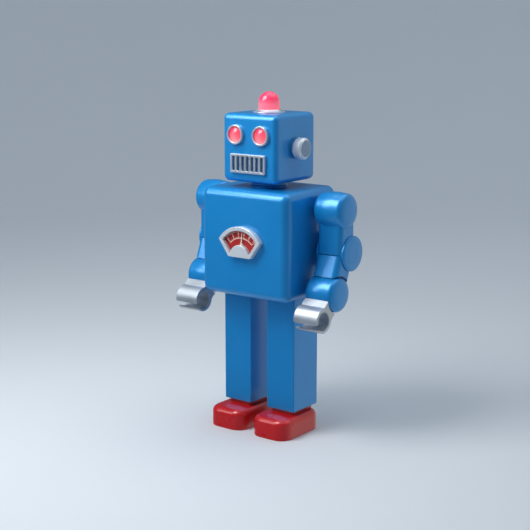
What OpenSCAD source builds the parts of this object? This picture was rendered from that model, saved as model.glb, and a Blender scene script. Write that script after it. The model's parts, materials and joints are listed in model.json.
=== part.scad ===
// Clockwork tin robot, standing.
// Origin on the floor below the middle of the whole, key included. +Z up, the robot faces -Y,
// its left side is +X. All sizes in millimetres.

/* [Sheet and fits] */
// Thickness of the tin sheet
tin = 0.6; // [0.4:0.1:0.8]
// Radial play of every running shaft in its hole
play = 0.05; // [0.03:0.01:0.08]

/* [Head] */
// Width and depth of the head
head_w = 44.5; // [42:0.5:48]
// Height of the head
head_h = 45; // [42:0.5:50]
// Rounding of the head's edges
head_r = 3.8; // [2:0.2:5]
// Radius of each eye bezel
eye_r = 6.5; // [5:0.1:7]
// Radius of the warning light on the head
beacon_r = 7; // [6:0.2:8]

/* [Torso] */
// Width of the torso
torso_w = 71.8; // [71:0.2:74]
// Depth of the torso, front to back
torso_d = 58; // [58:0.5:60]
// Height of the torso
torso_h = 72.4; // [72:0.2:76]
// Rounding of the torso's edges
torso_r = 5.8; // [4:0.2:7]
// Outer radius of the chest gauge
gauge_r = 20; // [18:0.5:21]
// Depth of the chest gauge's rim
gauge_t = 4.2; // [3:0.2:5]

/* [Legs] */
// Width of each leg
leg_w = 22.8; // [20:0.2:24]
// Depth of each leg, front to back
leg_d = 27.6; // [24:0.2:28]
// Distance from the middle of the robot to the middle of a leg
leg_x = 18.2; // [18:0.2:19]
// Height of a foot
foot_h = 14.2; // [13:0.2:15]
// Length of a foot
foot_l = 43; // [40:0.5:45]

/* [Arms] */
// Radius of the shoulder and wrist drums
drum_r = 12.2; // [11.5:0.1:12.4]
// Length of the shoulder and wrist drums
drum_l = 22.2; // [21:0.2:23]
// Distance from the middle of the robot to the middle of an arm
arm_x = 50.3; // [50:0.1:52]
// Forward lean of the forearm, in degrees
forearm_lean = 21.2; // [18:0.2:24]

/* [Clockwork] */
// Throw of the cranks that drive the legs
crank_throw = 1.6; // [1.2:0.1:1.8]
// Turns of the mainspring
spring_turns = 7; // [5:1:9]

/* [Hidden] */

// Colours
BLUE = "#1b78c8";
RED = "#b01518";
GLOW = "#ff5070";
SILVER = "#b4bec8";
STEEL = "#8f959b";
BRASS = "#c9a24a";
CREAM = "#efe3c4";

// Curves are true circles; only the feet's blended tops use these facets.
$fn = 48;
FOOT_FN = 32;

// Heights of the stacked parts, and the gap between a shell's wall and what lies against it
wall_gap = 0.05;
ankle_h = 2;
leg_z0 = foot_h + ankle_h;
torso_z0 = 94.9;
torso_z1 = torso_z0 + torso_h;
leg_z1 = torso_z0 + 4.1;
neck_gap = 4;
head_z0 = torso_z1 + neck_gap;
head_z1 = head_z0 + head_h;
torso_front = -torso_d / 2;
head_front = -head_w / 2;
leg_y = 2.1;

// Head fittings
neck_r = 11.4;
rivet_r = 2.5;
beacon_h = 13.7;
eye_x = 10.35;
eye_z = head_z0 + 31.3;
eye_rim = 1.3;
eye_proud = 2.2;
mouth_w = 28.6;
mouth_h = 12.6;
mouth_z = head_z0 + 6.2;
mouth_t = 1.8;
mouth_slots = 7;
mouth_rim = 1.6;
knob_z = head_z0 + 22.5;
knob_r = 7.1;
knob_l = 8.1;
knob_edge = 1.8;

// Torso seam, where the rear cover starts
seam_y = torso_d / 2 - torso_r;

// Winding key: stem from key_y, then a bow of two lobes
key_y = torso_d / 2 + 4;
key_stem_l = 12;
key_bow_y = 6;
key_lobe_r = 7.5;
key_lobe_out = 8.5;
key_hole_r = 4;
key_t = 1.8;
key_stem_r = 3.2;
key_square = 3.2;

// The modules below are drawn about the axis that the head turns on. This is how far the middle
// of the whole lies behind that axis.
middle_y = (key_y + key_stem_l + key_bow_y + key_lobe_r - torso_d / 2 - gauge_t) / 2;

gauge_z = torso_z0 + 28.6;
gauge_hub_r = 7.8;
gauge_rim = 2.7;

// Clockwork layout: the arbor, crown wheel, crank, hip and shoulder axes
side_x = 16;
plate_t = 1.2;
mid_y = 12;
great_y = mid_y + 2;
great_t = 1.4;
ratchet_y = great_y + great_t + 0.4;
spring_y = ratchet_y + 1.6;
spring_w = 7;
rear_y = mid_y + 13;
gear_m = 0.7;
GREAT_TEETH = 48;
PINION_TEETH = 10;
CROWN_TEETH = 30;
GOVERNOR_TEETH = 24;
FLY_TEETH = 8;
RATCHET_TEETH = 12;
crank_z = 126;
arbor_z = crank_z + gear_m * (GREAT_TEETH + PINION_TEETH) / 2;
plate_top = arbor_z + 15;
crank_y = leg_y;
hip_z = 108;
hip_r = 1.5;
shaft_r = 1.5;
arbor_r = 2.5;
fly_r = 1;
crank_pin_r = 1;
fly_y = crank_y - gear_m * (GOVERNOR_TEETH + FLY_TEETH) / 2;
crown_r = gear_m * CROWN_TEETH / 2;
crown_face_y = crank_y + gear_m * PINION_TEETH / 2;
lever_x = 20;
arm_lever_x = lever_x + plate_t + 0.8;
shoulder_y = 5.4;
shoulder_z = 154.6;
shoulder_rod_r = 2;
// The arm lever's pin lies on the line from hip to shoulder, two thirds of the way up.
link_y = leg_y + (shoulder_y - leg_y) * 2 / 3;
link_z = hip_z + (shoulder_z - hip_z) * 2 / 3;
link_tilt = atan((shoulder_y - leg_y) / (shoulder_z - hip_z));
link_l = (shoulder_z - link_z) / cos(link_tilt);
link_pin_r = 1;
swing = 5;

// Toe rollers, just clear of the floor that the foot's rim stands on
roller_y = -14;
roller_r = 4;
roller_z = roller_r + 0.2;

// Arm layout
drum_edge = 3.8;
column_w = 19.3;
column_d = 17.6;
column_y = 6.2;
column_r = 4;
elbow_y = 10.3;
elbow_z = 126.1;
cheek_t = 2.2;
cheek_r = 11.6;
knuckle_r = 11.3;
elbow_pin_r = 1.5;
wrist_y = -3.7;
wrist_z = 100.5;
wrist_pin_r = 1.5;
tongue_w = 6;
tongue_d = 8;
wrist_swing = 20;
claw_y = -20.8;
claw_z = 86;
claw_w = 18.6;
claw_hole_r = 6.15;
claw_r = 8.4;
claw_gap = 4.8;
claw_open_angle = -151;

// ---------------------------------------------------------------- shared shapes

// A box with every edge rounded, from corner a to corner b: what its three rounded outlines
// have in common when each is drawn out along its own axis
module round_box(a, b, r) {
    size = b - a;
    translate((a + b) / 2) intersection() {
        translate([0, 0, -size.z / 2]) linear_extrude(size.z) round_rect(size.x, size.y, r);
        translate([0, size.y / 2, 0]) rotate([90, 0, 0])
            linear_extrude(size.y) round_rect(size.x, size.z, r);
        translate([-size.x / 2, 0, 0]) rotate([90, 0, 90])
            linear_extrude(size.x) round_rect(size.y, size.z, r);
    }
}

// The same box as a hollow shell
module round_shell(a, b, r, t) {
    inset = [t, t, t];
    difference() {
        round_box(a, b, r);
        round_box(a + inset, b - inset, r - t);
    }
}

// Rounded rectangle, centred
module round_rect(w, d, r) {
    square([w - 2 * r, d], center = true);
    square([w, d - 2 * r], center = true);
    for (x = [-1, 1], y = [-1, 1])
        translate([x * (w / 2 - r), y * (d / 2 - r)]) circle(r);
}

// Cylinder along X from x = x0, length l
module x_rod(x0, l, r, y, z) translate([x0, y, z]) rotate([0, 90, 0]) cylinder(h = l, r = r);

// Cylinder along Y from y = y0, length l
module y_rod(y0, l, r, x, z) translate([x, y0, z]) rotate([-90, 0, 0]) cylinder(h = l, r = r);

// Outline of a drum's half section: radius along X, length along Y
module drum_section(r, l, edge) {
    translate([0, -l / 2]) square([r - edge, l]);
    translate([0, -l / 2 + edge]) square([r, l - 2 * edge]);
    for (s = [-1, 1]) translate([r - edge, s * (l / 2 - edge)]) circle(edge);
}

// Drum along X with rounded rims
module drum(x, y, z, r, l, edge)
    translate([x, y, z]) rotate([0, 90, 0]) rotate_extrude()
        intersection() {
            drum_section(r, l, edge);
            translate([0, -l]) square([r + 1, 2 * l]);
        }

// Builds the left side's shapes for s = 1 and mirrors them for s = -1
module side(s) mirror([s < 0 ? 1 : 0, 0, 0]) children();

// Flat gear outline with straight-flanked teeth, a tooth centred on the +X axis
module gear_outline(teeth, phase = 0) {
    pitch_r = gear_m * teeth / 2;
    root_r = pitch_r - 1.15 * gear_m;
    tip_r = pitch_r + 0.9 * gear_m;
    pitch_angle = 360 / teeth;
    root_half = 0.33 * pitch_angle;
    tip_half = 0.11 * pitch_angle;
    tooth = [[root_r, -root_half], [tip_r, -tip_half], [tip_r, tip_half], [root_r, root_half]];
    polygon([for (i = [0:teeth - 1], p = tooth) let (a = (i + phase) * pitch_angle + p[1])
        p[0] * [cos(a), sin(a)]]);
}

// ---------------------------------------------------------------- head

module head_shell() color(BLUE) difference() {
    round_shell([-head_w / 2, -head_w / 2, head_z0], [head_w / 2, head_w / 2, head_z1], head_r, tin);
    translate([0, 0, head_z0 - 1]) cylinder(h = tin + 2, r = neck_r - 2);
    translate([0, 0, head_z1 - tin - 1]) cylinder(h = tin + 2, r = beacon_r - 1.5);
    for (s = [-1, 1]) {
        y_rod(head_front - 1, tin + 2, eye_r - 1.6, s * eye_x, eye_z);
        x_rod(s * head_w / 2 - 2, 4, 1.5, 0, knob_z);
    }
    translate([-mouth_w / 2 + 2, head_front - 1, mouth_z + 2])
        cube([mouth_w - 4, tin + 2, mouth_h - 4]);
}

module head_base() color(BLUE) difference() {
    base_w = head_w - 2 * head_r - 1;
    translate([0, 0, head_z0 + tin + wall_gap]) linear_extrude(0.8) round_rect(base_w, base_w, 2);
    translate([0, 0, head_z0]) cylinder(h = 3, r = rivet_r + play);
}

module beacon_collar() color(SILVER) translate([0, 0, head_z1]) rotate_extrude()
    translate([beacon_r, 0]) polygon([[1.5, 0], [3.9, 0], [3.9, 0.4], [2.1, 1.1], [0.9, 1.9],
        [0.15, 1.9], [0.15, 0.9], [1.5, 0.9]]);

module beacon_dome() color(GLOW) translate([0, 0, head_z1]) {
    dome_z = beacon_h - beacon_r;
    dome_t = 1.2;
    rotate_extrude() difference() {
        union() {
            square([beacon_r, dome_z]);
            square([beacon_r + 1.3, 0.8]);
            intersection() {
                translate([0, dome_z]) circle(beacon_r);
                translate([0, dome_z]) square(beacon_r + 1);
            }
        }
        translate([0, -1]) square([beacon_r - dome_t, dome_z + 1]);
        intersection() {
            translate([0, dome_z]) circle(beacon_r - dome_t);
            translate([0, dome_z - 0.01]) square(beacon_r + 1);
        }
    }
}

module eye_bezels() color(SILVER) for (s = [-1, 1])
    translate([s * eye_x, head_front, eye_z]) rotate([90, 0, 0]) rotate_extrude() {
        translate([eye_r - eye_rim, 0]) square([eye_rim, eye_proud - eye_rim / 2]);
        translate([eye_r - eye_rim / 2, eye_proud - eye_rim / 2]) circle(eye_rim / 2);
    }

module eye_lenses() color(GLOW) for (s = [-1, 1]) {
    base_r = eye_r - eye_rim - wall_gap;
    base_t = 0.8;
    crown = 2.4;
    ball_r = (pow(base_r, 2) + pow(crown, 2)) / (2 * crown);
    translate([s * eye_x, head_front, eye_z]) rotate([90, 0, 0]) {
        cylinder(h = base_t, r = base_r);
        intersection() {
            translate([0, 0, base_t + crown - ball_r]) sphere(ball_r);
            translate([0, 0, base_t]) cylinder(h = crown + 1, r = base_r);
        }
    }
}

module mouth_grille() color(SILVER) {
    slot_w = (mouth_w - 2 * mouth_rim) / (2 * mouth_slots - 1);
    translate([-mouth_w / 2, head_front - mouth_t, mouth_z]) difference() {
        cube([mouth_w, mouth_t, mouth_h]);
        for (i = [0:mouth_slots - 1])
            translate([mouth_rim + 2 * i * slot_w, -1, mouth_rim])
                cube([slot_w, mouth_t + 2, mouth_h - 2 * mouth_rim]);
    }
}

module ear_knobs() color(SILVER) for (s = [-1, 1]) side(s)
    translate([head_w / 2, 0, knob_z]) rotate([0, 90, 0]) {
        rotate_extrude() {
            polygon([[0, 0], [knob_r - 1.9, 0], [knob_r, 2], [knob_r, knob_l - knob_edge],
                [knob_r - knob_edge, knob_l - knob_edge], [knob_r - knob_edge, knob_l], [0, knob_l]]);
            translate([knob_r - knob_edge, knob_l - knob_edge]) circle(knob_edge);
        }
        translate([0, 0, -tin - 1.5]) cylinder(h = tin + 1.5, r = 1.5);
        translate([0, 0, -tin - 1.5]) cylinder(h = 1.5 - wall_gap, r = 3);
    }

// ---------------------------------------------------------------- torso

module torso_box() round_shell([-torso_w / 2, torso_front, torso_z0],
    [torso_w / 2, torso_d / 2, torso_z1], torso_r, tin);

module torso_shell() color(BLUE) {
    slot_d = leg_d + 2 * tan(swing) * (hip_z - torso_z0) + 1.8;
    difference() {
        torso_box();
        translate([-torso_w, seam_y, 0]) cube([2 * torso_w, torso_d, 2 * torso_z1]);
        for (s = [-1, 1]) {
            translate([s * leg_x - leg_w / 2 - 0.8, leg_y - slot_d / 2, torso_z0 - 1])
                cube([leg_w + 1.6, slot_d, tin + 3]);
            x_rod(s * torso_w / 2 - 2, 4, shoulder_rod_r + 1.2, shoulder_y, shoulder_z);
        }
        translate([0, 0, torso_z1 - 2]) cylinder(h = 4, r = rivet_r);
    }
}

module rear_cover() color(BLUE) difference() {
    intersection() {
        torso_box();
        translate([-torso_w, seam_y, 0]) cube([2 * torso_w, torso_d, 2 * torso_z1]);
    }
    y_rod(torso_d / 2 - 2, 4, arbor_r + 1.5, 0, arbor_z);
    for (p = pillar_places) y_rod(torso_d / 2 - 2, 4, 1.2, p.x, p.y);
}

module cover_screws() color(STEEL) for (p = pillar_places) difference() {
    shank_y = rear_y + plate_t + 0.4;
    union() {
        y_rod(shank_y, torso_d / 2 + 1 - shank_y, 1.2, p.x, p.y);
        y_rod(torso_d / 2, 1.2, 2.4, p.x, p.y);
    }
    translate([p.x - 3, torso_d / 2 + 0.6, p.y - 0.3]) cube([6, 1, 0.6]);
}

module neck_tube() color(BLUE) translate([0, 0, torso_z1]) difference() {
    cylinder(h = neck_gap - 0.3, r = neck_r);
    translate([0, 0, -1]) cylinder(h = neck_gap - 0.3, r = neck_r - 0.8);
    cylinder(h = neck_gap, r = rivet_r);
}

module neck_rivet() color(STEEL) {
    translate([0, 0, torso_z1 - tin - 1]) cylinder(h = 1 - wall_gap, r = rivet_r + 2);
    translate([0, 0, torso_z1 - tin - 1]) cylinder(h = neck_gap + 2 * tin + 2.1, r = rivet_r);
    translate([0, 0, head_z0 + tin + 1]) cylinder(h = 1, r = rivet_r + 2);
}

// Fan outline: straight sides from (w, z) to the arc of radius r
module fan(r, w, z, run) intersection() {
    circle(r, $fn = 96);
    polygon([[-w, z], [w, z], [w + run * 2 * r, z + 2 * r], [-w - run * 2 * r, z + 2 * r]]);
}

// Draws an outline in X and Z on the chest, standing forward by depth
module gauge_face(depth) translate([0, torso_front, gauge_z]) rotate([90, 0, 0])
    linear_extrude(depth) children();

module gauge_bezel() color(SILVER) gauge_face(gauge_t) difference() {
    fan(gauge_r, 8.95, -0.6, 0.728);
    difference() {
        fan(gauge_r - gauge_rim, 7.8, 1.9, 0.709);
        circle(gauge_hub_r);
    }
}

module gauge_dial() color(RED) gauge_face(1.6) difference() {
    fan(gauge_r - gauge_rim - 0.05, 7.72, 1.95, 0.709);
    circle(gauge_hub_r + 0.05);
}

module gauge_needle() color(CREAM) translate([0, torso_front - 1.6, gauge_z]) rotate([90, 0, 0])
    linear_extrude(0.4) rotate(-4)
        polygon([[-0.5, gauge_hub_r + 0.3], [0.5, gauge_hub_r + 0.3], [0.15, gauge_r - 4],
            [-0.15, gauge_r - 4]]);

module shoulder_bushes() color(BRASS) for (s = [-1, 1]) side(s) difference() {
    union() {
        x_rod(torso_w / 2 - tin - 2.4, tin + 3.2, shoulder_rod_r + 1.2, shoulder_y, shoulder_z);
        x_rod(torso_w / 2 - tin - 2.4, 2.4 - wall_gap, shoulder_rod_r + 2.6, shoulder_y, shoulder_z);
    }
    x_rod(torso_w / 2 - 5, 10, shoulder_rod_r + play, shoulder_y, shoulder_z);
}

// ---------------------------------------------------------------- clockwork frame

pillar_places = [for (s = [-1, 1]) each [[s * 20, arbor_z + 12], [s * 20, arbor_z - 24]]];

module frame_plate(y, w, z0, z1) difference() {
    translate([-w / 2, y, z0]) cube([w, plate_t, z1 - z0]);
    for (p = pillar_places) y_rod(y - 1, plate_t + 2, 1.5, p.x, p.y);
    y_rod(y - 1, plate_t + 2, shaft_r + play, 0, crank_z);
}

module motor_mid_plate() color(STEEL) difference() {
    frame_plate(mid_y, torso_w - 2 * (tin + wall_gap), 104, plate_top);
    y_rod(mid_y - 1, plate_t + 2, shaft_r + play, 0, arbor_z);
}

module motor_rear_plate() color(STEEL) difference() {
    frame_plate(rear_y, 48, 116, plate_top);
    y_rod(rear_y - 1, plate_t + 2, arbor_r + play, 0, arbor_z);
}

module motor_side_plates() color(STEEL) for (s = [-1, 1]) side(s) difference() {
    translate([side_x, -14, 103]) cube([plate_t, mid_y + 14, shoulder_z + 6 - 103]);
    x_rod(side_x - 1, plate_t + 2, hip_r, leg_y, hip_z);
    x_rod(side_x - 1, plate_t + 2, shaft_r + play, crank_y, crank_z);
    x_rod(side_x - 1, plate_t + 2, fly_r + play, fly_y, crank_z);
    x_rod(side_x - 1, plate_t + 2, shoulder_rod_r + play, shoulder_y, shoulder_z);
}

module motor_pillars() color(BRASS) for (p = pillar_places) {
    y_rod(mid_y, rear_y + plate_t + 0.4 - mid_y, 1.5, p.x, p.y);
    y_rod(mid_y + plate_t, rear_y - mid_y - plate_t, 2.2, p.x, p.y);
}

// Flat spiral strip from the arbor out to a pillar
module mainspring() color(STEEL) {
    steps = 24;
    strip = 0.5;
    r0 = arbor_r + 0.6;
    r1 = 15.6;
    count = spring_turns * steps;
    spiral = [for (i = [0:count]) let (a = i * 360 / steps, r = r0 + (r1 - r0) * i / count)
        [r, r + strip, a]];
    translate([0, spring_y, arbor_z]) rotate([-90, 0, 0]) linear_extrude(spring_w)
        polygon(concat([for (p = spiral) p[0] * [cos(p[2]), sin(p[2])]],
            [for (i = [count:-1:0]) let (p = spiral[i]) p[1] * [cos(p[2]), sin(p[2])]]));
}

module hip_rod() color(STEEL) {
    x_rod(-lever_x - 3, 2 * lever_x + 6, hip_r, leg_y, hip_z);
    for (s = [-1, 1]) side(s) x_rod(lever_x + plate_t + 0.3, 1.2, hip_r + 1.5, leg_y, hip_z);
}

// ---------------------------------------------------------------- clockwork train

module winding_arbor() color(STEEL) {
    y_rod(mid_y, 3.9, shaft_r, 0, arbor_z);
    y_rod(great_y - 0.2, key_y - great_y, arbor_r, 0, arbor_z);
    translate([-key_square / 2, key_y - 0.5, arbor_z - key_square / 2])
        cube([key_square, 9, key_square]);
}

module winding_key() color(SILVER) {
    difference() {
        y_rod(key_y, key_stem_l, key_stem_r, 0, arbor_z);
        translate([-key_square / 2, key_y - 1, arbor_z - key_square / 2])
            cube([key_square, 9.5, key_square]);
    }
    translate([-key_t / 2, key_y + key_stem_l, arbor_z]) rotate([90, 0, 90])
        linear_extrude(key_t) key_bow();
}

// Two-lobed bow of the key: X runs along the stem, the lobes stand to either side
module key_bow() difference() {
    union() {
        for (s = [-1, 1]) translate([key_bow_y, s * key_lobe_out]) circle(key_lobe_r);
        translate([-1, -3]) square([12, 6]);
    }
    for (s = [-1, 1]) translate([key_bow_y, s * (key_lobe_out + 0.5)]) circle(key_hole_r);
}

module ratchet_wheel() color(BRASS) translate([0, ratchet_y, arbor_z]) rotate([-90, 0, 0])
    linear_extrude(1) difference() {
        polygon([for (i = [0:RATCHET_TEETH - 1], p = [[5.2, 0], [6.6, 1 / 12]])
            let (a = (i + p[1]) * 360 / RATCHET_TEETH) p[0] * [cos(a), sin(a)]]);
        circle(arbor_r);
    }

module great_wheel() color(BRASS) translate([0, great_y, arbor_z]) rotate([-90, 0, 0])
    linear_extrude(great_t) difference() {
        gear_outline(GREAT_TEETH);
        circle(arbor_r + play);
        for (i = [0:4]) rotate(i * 72 + 36) translate([10.5, 0]) circle(3);
    }

// Spring-steel click riveted to the great wheel, drawn lifted just clear of the ratchet's teeth
module click_spring() color(STEEL) translate([0, great_y + great_t, arbor_z]) rotate([-90, 0, 0]) {
    linear_extrude(1.2) rotate(30) difference() {
        polygon([[6.75, -0.7], [7.6, -1.1], [13.8, 3], [13.8, 6], [11, 6], [10.6, 3.6]]);
        translate([12.3, 4.5]) circle(0.8);
    }
    rotate(30) translate([12.3, 4.5]) cylinder(h = 1.5, r = 0.8);
}

module crown_pinion() color(STEEL) {
    y_rod(crown_face_y + 0.3, rear_y + plate_t - crown_face_y, shaft_r, 0, crank_z);
    translate([0, great_y - 0.3, crank_z]) rotate([-90, 0, 0]) linear_extrude(great_t + 0.6)
        gear_outline(PINION_TEETH);
}

// Contrate wheel: its teeth stand forward from the rim
module crown_wheel() color(BRASS) difference() {
    union() {
        y_rod(crown_face_y + 0.9, 1.3, crown_r + 1, 0, crank_z);
        y_rod(crown_face_y + 0.9, mid_y - 0.4 - crown_face_y - 0.9, 3.4, 0, crank_z);
        for (i = [0:CROWN_TEETH - 1])
            translate([0, crown_face_y, crank_z]) rotate([0, i * 360 / CROWN_TEETH, 0]) crown_tooth();
    }
    y_rod(0, 20, shaft_r, 0, crank_z);
    for (i = [0:4]) y_rod(0, 20, 1.9, 6.4 * cos(i * 72), crank_z + 6.4 * sin(i * 72));
}

module crown_tooth() {
    tip = 0.22 * gear_m * PI;
    root = 0.6 * gear_m * PI;
    translate([crown_r - 0.9, 0, 0]) rotate([0, 0, 90]) rotate([90, 0, 0]) linear_extrude(1.9)
        polygon([[-0.6, -tip / 2], [1, -root / 2], [1, root / 2], [-0.6, tip / 2]]);
}

module crankshaft() color(STEEL) {
    x_rod(-side_x - plate_t - 1.6, 2 * (side_x + plate_t + 1.6), shaft_r, crank_y, crank_z);
    translate([crown_r - 1.3, crank_y, crank_z]) rotate([0, 90, 0])
        linear_extrude(2.6) gear_outline(PINION_TEETH);
}

module governor_wheel() color(BRASS) translate([-side_x + 2.2, crank_y, crank_z]) rotate([0, 90, 0])
    linear_extrude(1.2) difference() {
        gear_outline(GOVERNOR_TEETH);
        circle(shaft_r);
        for (i = [0:3]) rotate(i * 90 + 45) translate([5, 0]) circle(1.6);
    }

// Crank discs on the ends of the shaft, their pins half a turn apart
module cranks() color(STEEL) for (s = [-1, 1]) side(s) {
    disc_x = side_x + plate_t + 0.4;
    pin_x = disc_x + plate_t;
    difference() {
        x_rod(disc_x, plate_t, 3.6, crank_y, crank_z);
        x_rod(disc_x - 1, plate_t + 2, shaft_r, crank_y, crank_z);
    }
    x_rod(pin_x, lever_x + plate_t + 0.4 - pin_x, crank_pin_r, crank_y, crank_z + s * crank_throw);
}

module governor_pinion() color(STEEL) {
    x_rod(-side_x - plate_t, 2 * (side_x + plate_t), fly_r, fly_y, crank_z);
    translate([-side_x + 2, fly_y, crank_z]) rotate([0, 90, 0])
        linear_extrude(1.6) gear_outline(FLY_TEETH, 0.5);
}

module governor_fly() color(BRASS) translate([0, fly_y, crank_z]) difference() {
    union() {
        x_rod(-7, 14, 2, 0, 0);
        translate([-7, -5.6, -0.4]) cube([14, 11.2, 0.8]);
    }
    x_rod(-8, 16, fly_r, 0, 0);
}

// ---------------------------------------------------------------- legs

module leg(s) color(BLUE) side(s) translate([leg_x, leg_y, leg_z0]) {
    h = leg_z1 - leg_z0;
    difference() {
        linear_extrude(h) round_rect(leg_w, leg_d, 0.7);
        translate([0, 0, tin]) linear_extrude(h - 2 * tin)
            round_rect(leg_w - 2 * tin, leg_d - 2 * tin, 0.3);
        translate([0, 0, -1]) linear_extrude(tin + 2) round_rect(leg_w - 9, leg_d - 9, 1);
    }
}

// Lever riveted to the leg's top: hip bore, window for the crank pin, slot for the arm's pin
module leg_lever(s) color(STEEL) side(s) {
    window_h = 2 * (crank_pin_r + crank_throw + 0.8);
    window_y = window_h + 2 * sin(swing) * (crank_z - hip_z);
    translate([leg_x - 7, leg_y - 8, leg_z1]) cube([lever_x + plate_t - leg_x + 7, 16, plate_t]);
    difference() {
        union() {
            translate([lever_x, leg_y - 5, leg_z1 + plate_t])
                cube([plate_t, 10, hip_z + 12 - leg_z1]);
            translate([lever_x, leg_y - window_y / 2 - 1.8, crank_z - window_h / 2 - 2])
                cube([plate_t, window_y + 3.6, window_h + 4]);
            translate([lever_x, leg_y, hip_z]) rotate([-link_tilt, 0, 0])
                translate([0, -2.6, 18]) cube([plate_t, 5.2, 2 * link_l - 18 + 3.4]);
        }
        x_rod(lever_x - 1, plate_t + 2, hip_r + play, leg_y, hip_z);
        translate([lever_x - 1, leg_y - window_y / 2, crank_z - window_h / 2])
            cube([plate_t + 2, window_y, window_h]);
        translate([lever_x - 1, leg_y, hip_z]) rotate([-link_tilt, 0, 0])
            translate([0, -link_pin_r - 0.15, 2 * link_l - 2])
                cube([plate_t + 2, 2 * link_pin_r + 0.3, 4]);
    }
}

// Slab with round corners and a rounded top edge
module pillow(w, l, h, r, edge) hull()
    for (x = [-1, 1], y = [-1, 1], a = [0:15:90])
        translate([x * (w / 2 - r), y * (l / 2 - r), h - edge + edge * sin(a) - (a == 0 ? h - edge : 0)])
            cylinder(h = a == 0 ? h - edge : 0.01, r = r - edge + edge * cos(a), $fn = FOOT_FN);

module foot(s) color(RED) side(s) {
    foot_y = leg_y + leg_d / 2 - foot_l / 2;
    foot_w = leg_w + 6.9;
    difference() {
        union() {
            translate([leg_x, foot_y, 0]) pillow(foot_w, foot_l, foot_h, 9, 4);
            translate([leg_x, leg_y, foot_h - 0.1])
                linear_extrude(ankle_h + 0.1) round_rect(leg_w - 5, leg_d - 5, 1);
        }
        translate([leg_x, foot_y, -1])
            linear_extrude(foot_h - 1) round_rect(foot_w - 4, foot_l - 4, 7);
    }
    for (x = [-1, 1]) difference() {
        translate([leg_x + x * 8 - 0.8, roller_y - 4, 1.5]) cube([1.6, 8, foot_h - 3.5]);
        x_rod(leg_x + x * 8 - 2, 4, 1 + play, roller_y, roller_z);
    }
}

// Knurled roller on its own axle
module toe_roller(s) color(STEEL) side(s) {
    x_rod(leg_x - 10, 20, 1, roller_y, roller_z);
    x_rod(leg_x - 6.5, 13, roller_r, roller_y, roller_z);
}

// ---------------------------------------------------------------- arms

module upper_arm(s) color(BLUE) side(s) difference() {
    union() {
        drum(arm_x, shoulder_y, shoulder_z, drum_r, drum_l, drum_edge);
        translate([arm_x, column_y, elbow_z + 0.3])
            linear_extrude(shoulder_z - elbow_z) round_rect(column_w, column_d, column_r);
        for (x = [-column_w / 2, column_w / 2 - cheek_t])
            x_rod(arm_x + x, cheek_t, cheek_r, elbow_y, elbow_z);
    }
    drum(arm_x, shoulder_y, shoulder_z, drum_r - tin, drum_l - 2 * tin, drum_edge - tin);
    difference() {
        translate([arm_x, column_y, elbow_z + 0.3]) linear_extrude(shoulder_z - elbow_z)
            round_rect(column_w - 2 * tin, column_d - 2 * tin, column_r - tin);
        x_rod(0, 100, knuckle_r + 1.2, elbow_y, elbow_z);
    }
    x_rod(arm_x - column_w / 2 + cheek_t, column_w - 2 * cheek_t, knuckle_r + 0.5,
        elbow_y, elbow_z);
    x_rod(0, 100, elbow_pin_r, elbow_y, elbow_z);
    x_rod(0, arm_x, shoulder_rod_r, shoulder_y, shoulder_z);
}

// Domed caps over the elbow pin's ends
module elbow_caps(s) color(BLUE) side(s) for (x = [-1, 1])
    translate([arm_x + x * column_w / 2, elbow_y, elbow_z]) rotate([0, x * 90, 0]) rotate_extrude() {
        square([cheek_r - 0.6, 1.7]);
        square([cheek_r + 0.2, 0.9]);
        intersection() {
            translate([cheek_r - 0.6, 0.9]) circle(0.8);
            square([cheek_r + 1, 3]);
        }
    }

module elbow_pin(s) color(STEEL) side(s)
    x_rod(arm_x - column_w / 2, column_w, elbow_pin_r, elbow_y, elbow_z);

// Rod through the torso wall with the lever that the leg's lever pushes
module shoulder_rod(s) color(STEEL) side(s) {
    x_rod(side_x, arm_x - side_x, shoulder_rod_r, shoulder_y, shoulder_z);
    translate([arm_lever_x, shoulder_y, shoulder_z]) rotate([-link_tilt, 0, 0]) difference() {
        union() {
            translate([0, -2.4, -link_l - 2.4]) cube([plate_t, 4.8, link_l + 2.4]);
            x_rod(0, plate_t, 4, 0, 0);
        }
        x_rod(-1, plate_t + 2, shoulder_rod_r, 0, 0);
    }
    x_rod(lever_x - 0.6, arm_lever_x - lever_x + 0.6, link_pin_r, link_y, link_z);
}

// Straight block along the forearm's leaning axis, from distance a to b above the wrist
module forearm_block(w, d, r, a, b) translate([arm_x, wrist_y, wrist_z])
    rotate([-forearm_lean, 0, 0]) translate([0, 0, a]) linear_extrude(b - a) round_rect(w, d, r);

module forearm(s) color(BLUE) side(s) {
    reach = 27.4;
    difference() {
        union() {
            difference() {
                forearm_block(column_w, 16.8, column_r, 6, reach + 4);
                translate([0, -50, elbow_z - 0.3]) cube([100, 100, 20]);
                x_rod(0, 100, cheek_r + 0.4, elbow_y, elbow_z);
                x_rod(0, 100, drum_r + 0.4, wrist_y, wrist_z);
            }
            x_rod(arm_x - column_w / 2 + cheek_t + 0.2, column_w - 2 * cheek_t - 0.4, knuckle_r,
                elbow_y, elbow_z);
            forearm_block(column_w - 2 * cheek_t - 2, 12, 3, 13, 22);
            translate([arm_x - tongue_w / 2, wrist_y, wrist_z]) rotate([-forearm_lean, 0, 0])
                translate([0, -tongue_d / 2, 2]) cube([tongue_w, tongue_d, 12]);
            x_rod(arm_x - tongue_w / 2, tongue_w, tongue_d / 2 + 0.3, wrist_y, wrist_z);
        }
        x_rod(0, 100, elbow_pin_r + play, elbow_y, elbow_z);
        x_rod(0, 100, wrist_pin_r, wrist_y, wrist_z);
    }
}

module wrist_pin(s) color(STEEL) side(s)
    x_rod(arm_x - drum_l / 2 + 1.5, drum_l - 3, wrist_pin_r, wrist_y, wrist_z);

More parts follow.
